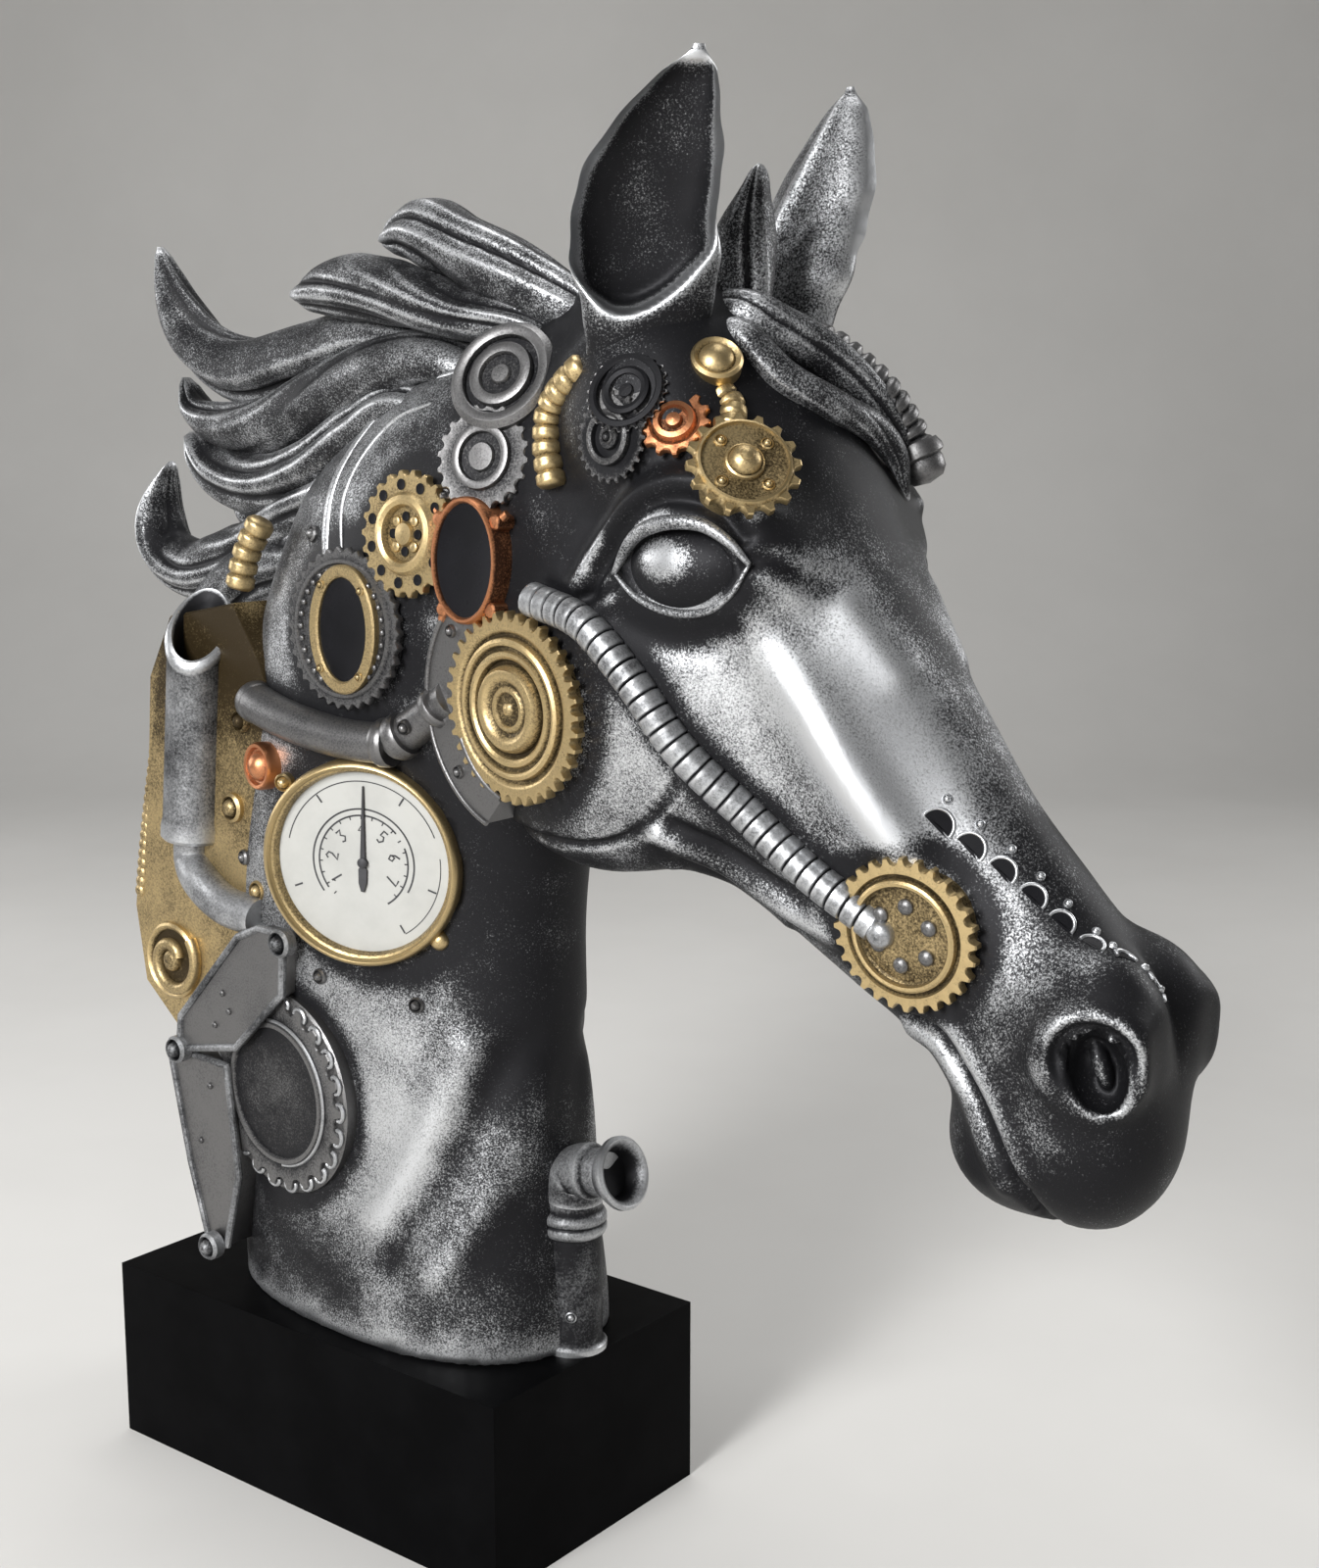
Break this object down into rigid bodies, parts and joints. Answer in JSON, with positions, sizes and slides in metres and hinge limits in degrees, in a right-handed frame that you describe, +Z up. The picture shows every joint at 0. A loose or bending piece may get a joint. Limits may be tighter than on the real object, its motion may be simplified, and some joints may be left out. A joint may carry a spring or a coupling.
{
  "type": "steampunk horse sculpture",
  "caption": "Cast horse-head bust with a flying mane, dressed with cogs, ribbed hoses, pipes, plates and a round gauge, on a plain rectangular block",
  "frame": {"origin": "centre of the block's underside", "axes": "+Z up, the horse faces +X, its right side (the side with the cogs and the gauge) faces -Y"},
  "size_m": [0.2805, 0.0747, 0.3086],
  "materials": {
    "aged_silver": "cast resin painted black and rubbed over with silver, bright on the high places and dark in the hollows",
    "aged_gold": "cast resin painted antique gold over black",
    "aged_copper": "cast resin painted copper over black",
    "dial_white": "flat printed dial, off-white with black marks",
    "block_black": "smooth satin black"
  },
  "bodies": {
    "root": {"horse_bust": "aged_silver", "gauge_dial": "dial_white", "plinth": "block_black"}
  },
  "joints": []
}
